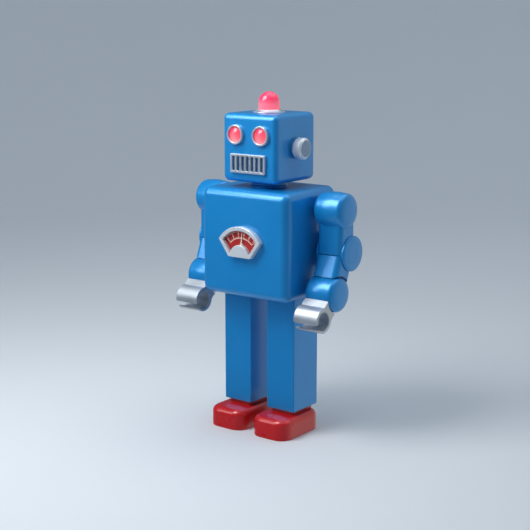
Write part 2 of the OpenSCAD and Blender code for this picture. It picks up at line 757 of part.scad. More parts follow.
// Hollow drum on the forearm's tongue, with a slot for the tongue and bosses on the pin
module wrist_drum(s) color(BLUE) side(s) difference() {
    boss_l = (drum_l - tin - tongue_w) / 2 - 0.3;
    union() {
        difference() {
            drum(arm_x, wrist_y, wrist_z, drum_r, drum_l, drum_edge);
            drum(arm_x, wrist_y, wrist_z, drum_r - tin, drum_l - 2 * tin, drum_edge - tin);
        }
        for (x = [-1, 1])
            x_rod(arm_x + x * (tongue_w / 2 + 0.3 + boss_l / 2) - boss_l / 2, boss_l, 3,
                wrist_y, wrist_z);
    }
    x_rod(arm_x - drum_l / 2 + 1.4, drum_l - 2.8, wrist_pin_r + play, wrist_y, wrist_z);
    tongue_slot();
}

function turned(p, a) = [p.x * cos(a) - p.y * sin(a), p.x * sin(a) + p.y * cos(a)];

// Space swept by the tongue at the top of the drum
module tongue_slot() {
    gap = tongue_d / 2 + 0.4;
    translate([arm_x - tongue_w / 2 - 0.3, wrist_y, wrist_z]) rotate([-forearm_lean, 0, 0])
        rotate([90, 0, 90]) linear_extrude(tongue_w + 0.6) polygon([
            turned([-gap, 5], wrist_swing), turned([-gap, drum_r + 4], wrist_swing),
            turned([gap, drum_r + 4], -wrist_swing), turned([gap, 5], -wrist_swing)]);
}

// C-shaped hook: a ring, thicker at the back, with a neck that meets the drum
module claw(s) color(SILVER) side(s) {
    lean = atan2(wrist_z - claw_z, wrist_y - claw_y);
    difference() {
        translate([arm_x - claw_w / 2, claw_y, claw_z]) rotate([90, 0, 90])
            linear_extrude(claw_w) difference() {
                union() {
                    translate([0.7, 0.6]) circle(claw_r);
                    rotate(lean) translate([0, -6]) square([14, 13]);
                }
                circle(claw_hole_r);
                rotate(claw_open_angle) translate([0, -claw_gap / 2]) square([12, claw_gap]);
            }
        x_rod(0, 100, drum_r, wrist_y, wrist_z);
    }
}

// ---------------------------------------------------------------- nodes

// Puts a part in place from the head's axis
module placed() translate([0, -middle_y, 0]) children();

placed() head_shell();
placed() head_base();
placed() beacon_collar();
placed() beacon_dome();
placed() eye_bezels();
placed() eye_lenses();
placed() mouth_grille();
placed() ear_knobs();
placed() torso_shell();
placed() rear_cover();
placed() cover_screws();
placed() neck_tube();
placed() neck_rivet();
placed() gauge_bezel();
placed() gauge_dial();
placed() gauge_needle();
placed() shoulder_bushes();
placed() motor_mid_plate();
placed() motor_rear_plate();
placed() motor_side_plates();
placed() motor_pillars();
placed() mainspring();
placed() hip_rod();
placed() winding_key();
placed() winding_arbor();
placed() ratchet_wheel();
placed() great_wheel();
placed() click_spring();
placed() crown_wheel();
placed() crown_pinion();
placed() crankshaft();
placed() governor_wheel();
placed() cranks();
placed() governor_pinion();
placed() governor_fly();
for (s = [["right", -1], ["left", 1]]) {
    placed() leg(s[1]);
    placed() leg_lever(s[1]);
    placed() foot(s[1]);
    placed() toe_roller(s[1]);
    placed() upper_arm(s[1]);
    placed() elbow_caps(s[1]);
    placed() elbow_pin(s[1]);
    placed() shoulder_rod(s[1]);
    placed() forearm(s[1]);
    placed() wrist_drum(s[1]);
    placed() wrist_pin(s[1]);
    placed() claw(s[1]);
}
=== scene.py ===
"""Tin clockwork robot: the visible surfaces, finishes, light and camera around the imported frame.

Shapes are worked out in millimetres and become metres when a piece is made.
"""
import json
import math

import bmesh
import bpy
from mathutils import Matrix, Vector
from mathutils.geometry import tessellate_polygon


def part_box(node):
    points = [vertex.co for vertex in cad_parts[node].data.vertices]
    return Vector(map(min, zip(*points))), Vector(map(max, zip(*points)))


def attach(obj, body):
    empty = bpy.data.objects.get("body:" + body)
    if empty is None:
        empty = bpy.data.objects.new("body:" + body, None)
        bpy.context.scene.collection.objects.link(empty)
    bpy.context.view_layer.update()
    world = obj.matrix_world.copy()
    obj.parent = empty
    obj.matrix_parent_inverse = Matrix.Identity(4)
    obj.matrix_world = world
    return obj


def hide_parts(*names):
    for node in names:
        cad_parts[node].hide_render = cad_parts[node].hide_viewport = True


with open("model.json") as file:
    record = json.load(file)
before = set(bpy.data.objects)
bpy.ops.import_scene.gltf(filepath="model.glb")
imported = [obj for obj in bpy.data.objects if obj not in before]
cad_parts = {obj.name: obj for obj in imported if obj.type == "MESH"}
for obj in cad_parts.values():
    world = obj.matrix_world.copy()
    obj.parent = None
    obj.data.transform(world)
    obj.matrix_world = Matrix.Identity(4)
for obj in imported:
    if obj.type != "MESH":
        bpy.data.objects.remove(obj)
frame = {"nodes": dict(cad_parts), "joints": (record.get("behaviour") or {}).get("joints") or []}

MM = 0.001
SIDES = (("right", -1), ("left", 1))
X, Y, Z = Vector((1, 0, 0)), Vector((0, 1, 0)), Vector((0, 0, 1))
TIN = 0.6
# Turns an outline drawn in X and Y to lie in Y and Z, with its thickness along X.
EDGEWAYS = Matrix(((0, 0, 1), (1, 0, 0), (0, 1, 0))).to_4x4()
# Turns an outline drawn in X and Y upright, with its thickness towards the robot's front.
FACING_FRONT = Matrix.Rotation(math.pi / 2, 4, "X")
JOINTS = {joint["name"]: joint for joint in frame["joints"]}


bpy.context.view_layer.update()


# ---------------------------------------------------------------- places taken from the frame

def box(*nodes):
    """Lowest and highest corner of some CAD nodes together, in millimetres."""
    corners = [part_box(node) for node in nodes]
    low = Vector([min(c[0][a] for c in corners) for a in range(3)]) / MM
    high = Vector([max(c[1][a] for c in corners) for a in range(3)]) / MM
    return low, high


def pivot(joint):
    """Point on a joint's axis, in millimetres."""
    return Vector(JOINTS[joint]["pos_m"]) / MM


HEAD_AXIS = pivot("head_turn")


# ---------------------------------------------------------------- outlines

def arc(centre, radius, start, end, steps):
    """Points on a circle from one angle to another, both in degrees."""
    angles = [math.radians(start + (end - start) * i / steps) for i in range(steps + 1)]
    return [Vector((centre[0] + radius * math.cos(a), centre[1] + radius * math.sin(a)))
            for a in angles]


def round_corners(points, radii, closed=False, steps=6):
    """The same outline with each corner turned into an arc of its own radius."""
    points = [Vector(p) for p in points]
    rounded = []
    for i, (p, radius) in enumerate(zip(points, radii)):
        if radius == 0 or (not closed and i in (0, len(points) - 1)):
            rounded.append(p)
            continue
        before = (points[i - 1] - p).normalized()
        after = (points[(i + 1) % len(points)] - p).normalized()
        corner = before.angle(after)
        reach = radius / math.tan(corner / 2)
        centre = p + (before + after).normalized() * (radius / math.sin(corner / 2))
        start, end = p + before * reach - centre, p + after * reach - centre
        turn = math.pi - corner
        for k in range(steps + 1):
            f = k / steps
            arm = start * math.sin((1 - f) * turn) + end * math.sin(f * turn)
            rounded.append(centre + arm / math.sin(turn))
    return rounded


def rectangle(width, depth, radius, steps=6, centre=(0, 0)):
    """Anticlockwise rounded rectangle."""
    w, d = width / 2, depth / 2
    corners = [(centre[0] + x, centre[1] + y) for x, y in ((-w, -d), (w, -d), (w, d), (-w, d))]
    return round_corners(corners, [radius] * 4, closed=True, steps=steps)


def moved_left(outline, distance):
    """A closed outline with every edge moved to its left by the same distance."""
    moved = []
    for i, p in enumerate(outline):
        a = (p - outline[i - 1]).normalized()
        b = (outline[(i + 1) % len(outline)] - p).normalized()
        left_a, left_b = Vector((-a.y, a.x)), Vector((-b.y, b.x))
        moved.append(p + (left_a + left_b) * (distance / (1 + left_a.dot(left_b))))
    return moved


# ---------------------------------------------------------------- solids, as (points, faces)

def rounded_box(low, high, radius, steps=6, cuts=((), (), ()), keep=None, sheet=None):
    """Box with round edges and corners, on a grid with extra lines where cuts says.

    keep(centre) picks the faces that stay. A sheet thickness turns them into a closed shell.
    """
    middle, half = (low + high) / 2, (high - low) / 2
    bend = [radius * math.tan(math.radians(45 * i / steps)) for i in range(1, steps + 1)]
    stops = []
    for a in range(3):
        flat = half[a] - radius
        lines = [-flat, flat, *(cut - middle[a] for cut in cuts[a])]
        stops.append(sorted(set(lines + [flat + b for b in bend] + [-flat - b for b in bend])))
    points, outward, index, faces = [], [], {}, []

    def vertex(key):
        if key not in index:
            p = Vector([stops[a][key[a]] for a in range(3)])
            core = Vector([max(radius - half[a], min(half[a] - radius, p[a])) for a in range(3)])
            normal = (p - core).normalized()
            index[key] = len(points)
            points.append(middle + core + normal * radius)
            outward.append(normal)
        return index[key]

    for a in range(3):
        u, v = (a + 1) % 3, (a + 2) % 3
        for end in (0, len(stops[a]) - 1):
            for i in range(len(stops[u]) - 1):
                for j in range(len(stops[v]) - 1):
                    keys = []
                    for di, dj in ((0, 0), (1, 0), (1, 1), (0, 1)):
                        key = [0, 0, 0]
                        key[a], key[u], key[v] = end, i + di, j + dj
                        keys.append(tuple(key))
                    face = [vertex(key) for key in (keys if end else keys[::-1])]
                    centre = sum((points[n] for n in face), Vector()) / 4
                    if keep is None or keep(centre):
                        faces.append(face)
    if sheet is None:
        return points, faces
    return shell(points, outward, faces, sheet)


def shell(points, outward, faces, thickness):
    """Closed sheet between an open surface and its copy further in."""
    count = len(points)
    inner = [p - n * thickness for p, n in zip(points, outward)]
    edges = {(face[i - 1], face[i]) for face in faces for i in range(len(face))}
    rims = [[b, a, a + count, b + count] for a, b in edges if (b, a) not in edges]
    backs = [[n + count for n in reversed(face)] for face in faces]
    return points + inner, faces + backs + rims


def loft(rings):
    """Closed solid through rings that have the same number of points."""
    count = len(rings[0])
    points = [p for ring in rings for p in ring]
    faces = [list(range(count))[::-1], list(range(len(points) - count, len(points)))]
    for r in range(len(rings) - 1):
        for i in range(count):
            j = (i + 1) % count
            faces.append([r * count + i, r * count + j, (r + 1) * count + j, (r + 1) * count + i])
    return points, faces


def level(outline, z):
    """An outline in X and Y raised to a height."""
    return [Vector((p.x, p.y, z)) for p in outline]


def lathe(profile, centre, axis, steps=96, ring=False):
    """Solid of revolution. profile is (radius, distance along the axis), end to end.

    A ring's profile is a closed loop that stays off the axis.
    """
    turn = axis.to_track_quat("Z", "Y").to_matrix()
    rows, points, faces = [], [], []
    for radius, along in profile:
        count = 1 if radius < 1e-6 else steps
        rows.append([len(points) + i for i in range(count)])
        for i in range(count):
            a = math.tau * i / steps
            local = Vector((radius * math.cos(a), radius * math.sin(a), along))
            points.append(centre + turn @ local)
    pairs = list(zip(rows, rows[1:])) + ([(rows[-1], rows[0])] if ring else [])
    for low, high in pairs:
        for i in range(steps):
            j = (i + 1) % steps
            face = [low[i % len(low)], low[j % len(low)], high[j % len(high)], high[i % len(high)]]
            faces.append(list(dict.fromkeys(face)))
    return points, faces


def plate(outlines, low, high, edge, place, steps=4):
    """Flat part with rounded rims. The first outline is anticlockwise, its holes clockwise."""
    layers = []
    for i in range(steps + 1):
        a = math.radians(90 * i / steps)
        layers.append((edge * (1 - math.cos(a)), edge * math.sin(a)))
    heights = [(inset, low + edge - rise) for inset, rise in reversed(layers)]
    heights += [(inset, high - edge + rise) for inset, rise in layers]
    points, faces, first, last = [], [], [], []
    for outline in outlines:
        start, count = len(points), len(outline)
        for inset, z in heights:
            points += [place @ p for p in level(moved_left(outline, inset), z)]
        for r in range(len(heights) - 1):
            for i in range(count):
                a, b = start + r * count + i, start + r * count + (i + 1) % count
                faces.append([a, b, b + count, a + count])
        first += range(start, start + count)
        last += range(len(points) - count, len(points))
    flat = [level(moved_left(outline, edge), 0) for outline in outlines]
    for triangle in tessellate_polygon(flat):
        faces.append([last[i] for i in triangle])
        faces.append([first[i] for i in reversed(triangle)])
    return points, faces


def rod(centre, radius, length, axis=X, edge=0.0, steps=96):
    """Solid cylinder about its middle, with its rims rounded if edge is given."""
    half = length / 2
    profile = [(0, -half), (radius, -half), (radius, half), (0, half)]
    if edge:
        profile = round_corners(profile, [0, edge, edge, 0], steps=4)
    return lathe(profile, centre, axis, steps)


def drum(centre, radius, length, edge=5.2, crown=0.7, belly=0.45, steps=96):
    """Drum along X: a side with a slight belly that runs into softly domed ends in one curve."""
    power, flat, side_rows, end_rows = 0.62, length / 2 - edge, 6, 14
    half = [(radius - belly * (i / side_rows) ** 2, flat * i / side_rows) for i in range(side_rows)]
    for i in range(end_rows + 1):
        a = math.radians(90 * i / end_rows)
        along = flat + (edge + crown) * math.sin(a) ** power
        half.append(((radius - belly) * max(math.cos(a), 0) ** power, along))
    half[-1] = (0, half[-1][1])
    profile = [(r, -along) for r, along in reversed(half[1:])] + half
    return lathe(profile, centre, X, steps)


def to_bmesh(*parts):
    """One bmesh from some parts, welded and with its faces turned outwards."""
    bm = bmesh.new()
    for points, faces in parts:
        made = [bm.verts.new(p) for p in points]
        for face in faces:
            bm.faces.new([made[i] for i in face])
    bmesh.ops.remove_doubles(bm, verts=bm.verts, dist=1e-4)
    loose = [v for v in bm.verts if not v.link_faces]
    bmesh.ops.delete(bm, geom=loose, context="VERTS")
    bmesh.ops.recalc_face_normals(bm, faces=bm.faces)
    return bm


def boolean(operation, first, *others):
    """UNION or DIFFERENCE of closed parts, taken in turn."""
    for other in others:
        objects = []
        for part in (first, other):
            mesh = bpy.data.meshes.new("part")
            bm = to_bmesh(part)
            bm.to_mesh(mesh)
            bm.free()
            objects.append(bpy.data.objects.new("part", mesh))
            bpy.context.scene.collection.objects.link(objects[-1])
        modifier = objects[0].modifiers.new("cut", "BOOLEAN")
        modifier.operation, modifier.solver, modifier.object = operation, "EXACT", objects[1]
        shaped = objects[0].evaluated_get(bpy.context.evaluated_depsgraph_get())
        mesh = shaped.to_mesh()
        first = [v.co.copy() for v in mesh.vertices], [list(f.vertices) for f in mesh.polygons]
        shaped.to_mesh_clear()
        for used in objects:
            bpy.data.meshes.remove(used.data)
    return first


def mirrored(part, side):
    """The part itself for the left side, its mirror image for the right."""
    points, faces = part
    return [Vector((p[0] * side, p[1], p[2])) for p in points], faces


def piece(name, parts, finish, body, replaces=(), origin=(0, 0, 0), crease=38):
    """One visible object from some parts, riding on a CAD body."""
    bm = to_bmesh(*parts)
    bmesh.ops.translate(bm, verts=bm.verts, vec=-Vector(origin))
    bmesh.ops.scale(bm, verts=bm.verts, vec=(MM, MM, MM))
    for edge in bm.edges:
        edge.smooth = len(edge.link_faces) == 2 and edge.calc_face_angle() < math.radians(crease)
    for face in bm.faces:
        face.smooth = True
    mesh = bpy.data.meshes.new(name)
    bm.to_mesh(mesh)
    bm.free()
    mesh.materials.append(finish)
    made = bpy.data.objects.new(name, mesh)
    made.location = Vector(origin) * MM
    bpy.context.scene.collection.objects.link(made)
    weighted = made.modifiers.new("normals", "WEIGHTED_NORMAL")
    weighted.keep_sharp = True
    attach(made, body)
    if replaces:
        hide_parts(*replaces)
    return made


# ---------------------------------------------------------------- finishes

class Finish:
    """A Principled material with helpers for the nodes that give it its detail."""

    def __init__(self, name, **constants):
        self.material = bpy.data.materials.new(name)
        self.material.use_nodes = True
        self.nodes = self.material.node_tree.nodes
        self.links = self.material.node_tree.links
        self.shader = self.nodes["Principled BSDF"]
        for socket, value in constants.items():
            self.shader.inputs[socket.replace("_", " ")].default_value = value
        self.place = self.add("ShaderNodeTexCoord").outputs["Object"]

    def add(self, kind, settings=None, **inputs):
        node = self.nodes.new(kind)
        for name, value in (settings or {}).items():
            setattr(node, name, value)
        for name, value in inputs.items():
            socket = node.inputs[int(name[1:])] if name[0] == "_" else node.inputs[name]
            if isinstance(value, bpy.types.NodeSocket):
                self.links.new(value, socket)
            else:
                socket.default_value = value
        return node

    def link(self, socket, value):
        self.links.new(value, self.shader.inputs[socket])

    def noise(self, per_metre, detail=3.0, stretch=(1, 1, 1)):
        spread = self.add("ShaderNodeMapping", Vector=self.place, Scale=stretch)
        node = self.add("ShaderNodeTexNoise", Vector=spread.outputs[0], Scale=per_metre,
                        Detail=detail)
        return node.outputs["Fac"]

    def remap(self, value, low, high, start=0.0, end=1.0):
        node = self.add("ShaderNodeMapRange", _0=value, _1=start, _2=end, _3=low, _4=high)
        return node.outputs[0]

    def math(self, operation, a, b):
        return self.add("ShaderNodeMath", {"operation": operation}, _0=a, _1=b).outputs[0]

    def mix(self, factor, a, b):
        node = self.add("ShaderNodeMix", {"data_type": "RGBA"}, _0=factor, _6=a, _7=b)
        return node.outputs[2]

    def bump(self, height, depth, strength=1.0):
        node = self.add("ShaderNodeBump", Height=height, Distance=depth, Strength=strength)
        return node.outputs[0]

    def edges(self, radius):
        """How strongly the surface turns within this radius: 0 on flats, more on sharp edges."""
        smooth = self.add("ShaderNodeBevel", {"samples": 4}, Radius=radius).outputs[0]
        true = self.add("ShaderNodeNewGeometry").outputs["Normal"]
        same = self.add("ShaderNodeVectorMath", {"operation": "DOT_PRODUCT"}, _0=smooth, _1=true)
        return self.remap(same.outputs["Value"], 0.0, 1.0, 0.995, 0.80)


def shade(colour, factor):
    return (*(c * factor for c in colour), 1.0)


def enamel(name, colour, worn, roughness=0.34, metallic=0.28):
    """Glossy lacquer on tin: a faint orange peel, uneven depth of colour, rubbed sharp edges."""
    wear_radius, peel_depth = 0.0005, 0.00003
    f = Finish(name, Metallic=metallic, IOR=1.55,
               Coat_Weight=0.4, Coat_Roughness=0.18, Coat_IOR=1.5)
    cloud = f.noise(38, 4)
    grain = f.noise(420, 2)
    patches = f.remap(f.noise(260, 5), 0.0, 1.0, 0.48, 0.62)
    rubbed = f.math("MULTIPLY", f.edges(wear_radius), patches)
    tone = f.mix(cloud, shade(colour, 0.93), shade(colour, 1.06))
    tone = f.mix(f.remap(grain, 0.0, 0.10), tone, shade(colour, 1.2))
    f.link("Base Color", f.mix(f.math("MULTIPLY", rubbed, 0.55), tone, (*worn, 1.0)))
    rough = f.remap(f.noise(90, 5), roughness - 0.04, roughness + 0.05, 0.3, 0.7)
    f.link("Roughness", f.math("ADD", rough, f.math("MULTIPLY", rubbed, 0.2)))
    f.link("Normal", f.bump(f.noise(620, 2), peel_depth, 0.5))
    return f.material


def metal(name, colour, roughness, stretch, brush=0.5, depth=0.00002, metallic=1.0, core=None):
    """Metal with fine lines along one direction, faint stains and brighter rubbed edges.

    core is the colour and radius of a darker middle, round the object's own X axis: painted shade
    on a turned part's end face.
    """
    wear_radius = 0.0004
    f = Finish(name, Metallic=metallic, IOR=1.5)
    lines = f.noise(900, 4, stretch)
    stain = f.noise(70, 5)
    tone = f.mix(f.remap(stain, 0.0, 1.0, 0.35, 0.7), shade(colour, 0.86), shade(colour, 1.05))
    tone = f.mix(f.math("MULTIPLY", f.edges(wear_radius), 0.5), tone, shade(colour, 1.3))
    # Painted shade: a darker grey-blue middle round the X axis stands in for the shade on a knob's
    # end face.
    if core:
        across = f.add("ShaderNodeVectorMath", {"operation": "MULTIPLY"}, _0=f.place, _1=(0, 1, 1))
        distance = f.add("ShaderNodeVectorMath", {"operation": "LENGTH"}, _0=across.outputs[0])
        middle, edge = core
        inside = f.remap(distance.outputs["Value"], 1.0, 0.0, edge - 0.0004, edge + 0.0003)
        tone = f.mix(inside, tone, shade(middle, 1.0))
    f.link("Base Color", f.mix(f.remap(lines, 0.0, 0.25 * brush), tone, shade(colour, 0.6)))
    rough = f.remap(stain, roughness - 0.04, roughness + 0.08, 0.35, 0.7)
    lines_rough = f.remap(lines, -0.5 * brush * roughness, 0.5 * brush * roughness)
    f.link("Roughness", f.math("ADD", rough, lines_rough))
    f.link("Normal", f.bump(lines, depth, brush))
    return f.material


def painted_glow_lens(name, deep, pale, glow, split=None):
    """Red lens moulding with painted glow: its emission stands in for light from within, though no
    lamp is in it.

    The pale part glows more, as painted light; it lies below the height split or, without one, low
    in the middle of the lens.
    """
    f = Finish(name, Roughness=0.25, IOR=1.4, Coat_Weight=0.8, Coat_Roughness=0.12)
    x, _, z = f.add("ShaderNodeSeparateXYZ", Vector=f.place).outputs
    cloud = f.remap(f.noise(260, 3), -0.06, 0.06, 0.35, 0.65)
    if split is None:
        # Painted glow: the eye lens is made pale and bright low down in its middle.
        low = f.remap(z, 1.0, 0.0, -0.0046, 0.0022)
        middle = f.remap(f.math("ABSOLUTE", x, 0.0), 1.0, 0.35, 0.0, 0.0052)
        share = f.math("MULTIPLY", low, middle)
    else:
        share = f.remap(z, 1.0, 0.0, split - 0.0022, split + 0.0014)
    share = f.add("ShaderNodeClamp", _0=f.math("ADD", share, cloud)).outputs[0]
    tone = f.mix(share, (*deep, 1.0), (*pale, 1.0))
    f.link("Base Color", tone)
    # The emission is painted glow: no lamp lights the part.
    f.link("Emission Color", tone)
    f.link("Emission Strength", f.remap(share, glow * 0.8, glow * 1.15))
    f.link("Normal", f.bump(f.noise(500, 2), 0.00002, 0.4))
    return f.material


def print_ink(name, colour, roughness):
    """Printed or painted flat colour with a fine paper-like tooth."""
    f = Finish(name, IOR=1.45, Coat_Weight=0.4, Coat_Roughness=0.15)
    f.link("Base Color", f.mix(f.noise(180, 5), shade(colour, 0.88), shade(colour, 1.08)))
    f.link("Roughness", f.remap(f.noise(350, 4), roughness - 0.06, roughness + 0.08, 0.3, 0.7))
    f.link("Normal", f.bump(f.noise(1500, 3), 0.00001, 0.5))
    return f.material


BLUE = (0.004, 0.255, 0.64)
BLUE_TIN = enamel("blue_enamel", BLUE, (0.10, 0.38, 0.66))
BLUE_MOULDING = enamel("blue_moulding", BLUE, (0.08, 0.36, 0.66), 0.37)
RED_TIN = enamel("red_enamel", (0.56, 0.006, 0.008), (0.66, 0.10, 0.08), 0.3, metallic=0.05)
CHROME = metal("chrome", (0.62, 0.69, 0.78), 0.30, (1, 1, 1), brush=0.15, metallic=0.65)
# The knobs' end faces get a darker grey-blue middle: painted shade.
KNOB_CHROME_PAINTED_SHADE = metal("knob_chrome", (0.80, 0.84, 0.88), 0.26, (1, 1, 1), brush=0.15, metallic=0.35,
                    core=((0.20, 0.31, 0.45), 0.0056))
SILVER = metal("brushed_silver", (0.58, 0.63, 0.69), 0.46, (0.06, 1, 1), metallic=0.75)
KEY_STEEL = metal("key_steel", (0.60, 0.61, 0.62), 0.26, (1, 0.1, 1))
STEEL = metal("steel", (0.42, 0.43, 0.45), 0.32, (0.1, 1, 1))
BRASS = metal("brass", (0.70, 0.46, 0.17), 0.28, (1, 0.1, 1))
BEZEL = enamel("pale_bezel", (0.66, 0.71, 0.76), (0.80, 0.82, 0.84), 0.3)
DIAL = print_ink("red_dial", (0.42, 0.012, 0.012), 0.4)
CREAM = print_ink("cream_paint", (0.84, 0.72, 0.60), 0.45)
# Dark navy behind the mouth slots: painted shade.
MOUTH_PAINTED_SHADE = print_ink("mouth_painted_shade", (0.025, 0.11, 0.26), 0.5)
# Beacon and eye lenses get a painted glow, brighter in their pale part.
BEACON_RED = painted_glow_lens("beacon_painted_glow", (0.95, 0.04, 0.12), (1.0, 0.15, 0.21), 0.5, split=0.0076)
EYE_RED = painted_glow_lens("eye_painted_glow", (0.95, 0.04, 0.10), (1.0, 0.30, 0.32), 0.45)


# ---------------------------------------------------------------- head

def make_head():
    low, high = box("head_shell")
    edge = 3.8
    shape = rounded_box(low, high, edge, steps=8)
    piece("head_box", [shape], BLUE_TIN, "head", ["head_shell"])
    make_eyes()
    make_mouth()
    make_knobs()
    make_beacon()


def make_eyes():
    low, high = box("eye_bezels")
    radius, rim, proud = (high.z - low.z) / 2, 1.3, high.y - low.y
    eye_x, eye_z, front = high.x - radius, (low.z + high.z) / 2, high.y
    ring = round_corners([(radius - rim, 0), (radius, 0), (radius, proud), (radius - rim, proud)],
                         [0.05, 0.05, 0.4, 0.4], closed=True, steps=5)
    gap, side, crown, rows = 0.05, 0.7, 2.5, 14
    lens_r = radius - rim - gap
    ball = (lens_r ** 2 + crown ** 2) / (2 * crown)
    reach = math.asin(lens_r / ball)
    dome = []
    for i in range(rows + 1):
        a = reach * (1 - i / rows)
        dome.append((ball * math.sin(a), side + crown - ball + ball * math.cos(a)))
    dome[-1] = (0, dome[-1][1])
    profile = [(0, 0), (lens_r, 0), *dome]
    for side_name, s in SIDES:
        centre = Vector((s * eye_x, front, eye_z))
        piece(f"eye_ring_{side_name}", [lathe(ring, centre, -Y, ring=True)], CHROME, "head",
              ["eye_bezels"], centre)
        piece(f"eye_lens_{side_name}", [lathe(profile, centre, -Y)], EYE_RED, "head",
              ["eye_lenses"], centre)


def make_mouth():
    low, high = box("mouth_grille")
    width, height, depth = high.x - low.x, high.z - low.z, high.y - low.y
    slots, rim, bar = 7, 1.6, 1.65
    slot = (width - 2 * rim - (slots - 1) * bar) / slots
    place = Matrix.Translation((0, high.y, (low.z + high.z) / 2)) @ FACING_FRONT
    outlines = [rectangle(width, height, 0.7, 3)]
    for i in range(slots):
        x = -width / 2 + rim + slot / 2 + i * (slot + bar)
        outlines.append(rectangle(slot, height - 2 * rim, 0.25, 2, (x, 0))[::-1])
    piece("mouth_frame", [plate(outlines, 0.0, depth, 0.3, place, 3)], CHROME, "head",
          ["mouth_grille"])
    # A dark navy plate behind the slots stands in for the shade there: painted shade.
    back = plate([rectangle(width - 1, height - 1, 0.5, 3)], -0.1, 0.25, 0.05, place, 2)
    piece("mouth_shade_plate", [back], MOUTH_PAINTED_SHADE, "head")


def make_knobs():
    low, high = box("ear_knobs")
    radius, face = (high.z - low.z) / 2, box("head_shell")[1].x
    length, centre_z = high.x - face, (low.z + high.z) / 2
    sunk, waist = 0.2, radius - 1.5
    profile = round_corners(
        [(0, -sunk), (waist - 0.2, -sunk), (waist, 0.8), (radius, 1.9), (radius, length - 1.5),
         (radius - 1.3, length - 0.2), (radius - 2.1, length - 0.35), (0, length)],
        [0, 0.05, 0.4, 0.5, 0.6, 0.4, 0.5, 0], steps=4)
    for side_name, s in SIDES:
        centre = Vector((s * face, HEAD_AXIS.y, centre_z))
        piece(f"ear_knob_{side_name}", [lathe(profile, centre, s * X)], KNOB_CHROME_PAINTED_SHADE, "head",
              ["ear_knobs"], centre)


def make_beacon():
    low, high = box("beacon_dome")
    centre = Vector((HEAD_AXIS.x, HEAD_AXIS.y, low.z))
    flange, flutes, per_flute, flute_depth, dome_rows = 1.3, 26, 8, 0.34, 14
    radius, top = high.x - flange, high.z - low.z
    straight = top - radius
    # Each row is its radius, its height and how deep its flutes are, from 0 to 1.
    rows = [(radius, z, 1.0) for z in (0.2, 2.0, 4.0, straight - 0.9)]
    rows += [(radius, straight - 0.3, 0.4), (radius, straight, 0.0)]
    for i in range(1, dome_rows + 1):
        a = math.radians(88 * i / dome_rows)
        rows.append((radius * math.cos(a), straight + radius * math.sin(a), 0.0))
    rings = []
    for r, z, share in rows:
        ring = []
        for i in range(flutes * per_flute):
            a = math.tau * i / (flutes * per_flute)
            reach = r - flute_depth * share * (1 - abs(math.cos(flutes * a / 2)))
            ring.append(centre + Vector((reach * math.cos(a), reach * math.sin(a), z)))
        rings.append(ring)
    piece("beacon_painted_glow", [loft(rings)], BEACON_RED, "head", ["beacon_dome"], centre,
          crease=60)
    inner, outer = radius + 0.15, box("beacon_collar")[1].x
    profile = round_corners(
        [(inner, 0), (outer, 0), (outer, 0.45), (radius + 2.0, 1.0), (radius + 1.0, 2.0),
         (inner, 2.0)], [0.02, 0.1, 0.2, 0.8, 0.3, 0.1], closed=True, steps=4)
    piece("beacon_ring", [lathe(profile, centre, Z, ring=True)], CHROME, "head",
          ["beacon_collar"], centre)


# ---------------------------------------------------------------- torso

def make_torso():
    low, high = box("torso_shell", "rear_cover")
    seam, rows = box("rear_cover")[0].y, 10
    radius, groove, slack = high.y - seam, 0.12, Vector((0.8, 2.05, 0))
    slots = []
    for side_name, _ in SIDES:
        leg_low, leg_high = box(f"{side_name}_leg")
        slots.append((leg_low - slack, leg_high + slack))

    def in_slot(p):
        return p.z < low.z + 1 and any(
            a.x < p.x < b.x and a.y < p.y < b.y for a, b in slots)

    cuts = ([c.x for slot in slots for c in slot],
            [seam - groove, seam + groove, slots[0][0].y, slots[0][1].y], ())
    front = rounded_box(low, high, radius, rows, cuts,
                        lambda p: p.y < seam - groove and not in_slot(p), TIN)
    back = rounded_box(low, high, radius, rows, cuts, lambda p: p.y > seam + groove, TIN)
    piece("torso_box", [front], BLUE_TIN, "torso", ["torso_shell"])
    piece("torso_back", [back], BLUE_TIN, "torso", ["rear_cover"])
    make_neck()
    make_gauge()
    make_back_fittings()


def make_neck():
    low, high = box("neck_tube")
    radius, height = high.x, high.z - low.z
    profile = round_corners(
        [(0, 0), (radius + 1.1, 0), (radius + 0.9, 0.5), (radius, 1.3), (radius, height),
         (0, height)], [0, 0.1, 0.3, 0.8, 0.3, 0], steps=4)
    foot = Vector((HEAD_AXIS.x, HEAD_AXIS.y, low.z))
    piece("neck", [lathe(profile, foot, Z)], BLUE_TIN, "torso", ["neck_tube"])


def fan(radius, half_width, floor, lean, steps=48):
    """Anticlockwise outline with leaning straight sides under an arc about the origin."""
    a = lean ** 2 + 1
    b = half_width * lean + floor
    c = half_width ** 2 + floor ** 2 - radius ** 2
    run = (-b + math.sqrt(b * b - a * c)) / a
    start = math.degrees(math.atan2(floor + run, half_width + lean * run))
    return [Vector((-half_width, floor)), Vector((half_width, floor)),
            *arc((0, 0), radius, start, 180 - start, steps)]


